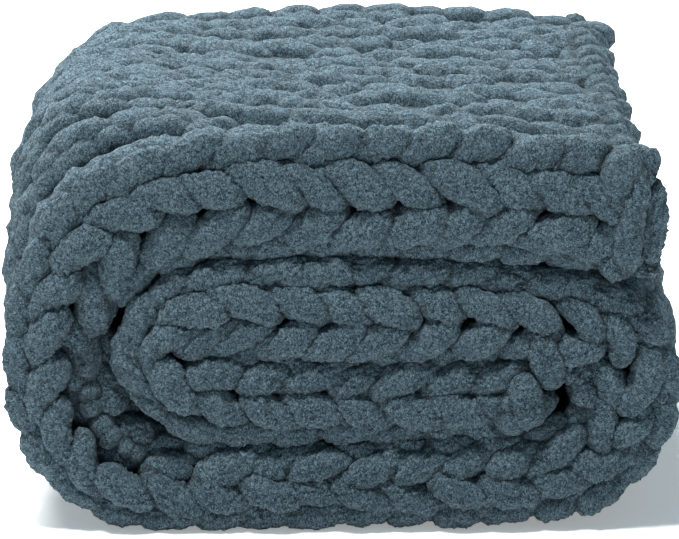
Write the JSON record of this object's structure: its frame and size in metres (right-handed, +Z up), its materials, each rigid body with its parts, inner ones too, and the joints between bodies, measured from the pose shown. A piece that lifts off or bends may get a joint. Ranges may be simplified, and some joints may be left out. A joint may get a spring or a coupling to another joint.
{
  "type": "folded chunky knit blanket",
  "caption": "Thick chenille knit throw blanket, folded over and over into a flat roll that rests on a surface, with its chained edge at the front.",
  "frame": {"origin": "middle of the bounding box's underside, on the surface that the blanket rests on", "axes": "+Z up, -Y towards the front edge where the fold shows, +X to the right seen from the front"},
  "size_m": [0.4344, 0.4212, 0.2672],
  "materials": {
    "chenille_yarn": "matte teal-grey chenille yarn with a short dense pile"
  },
  "bodies": {
    "root": {"blanket": "chenille_yarn"}
  },
  "joints": []
}
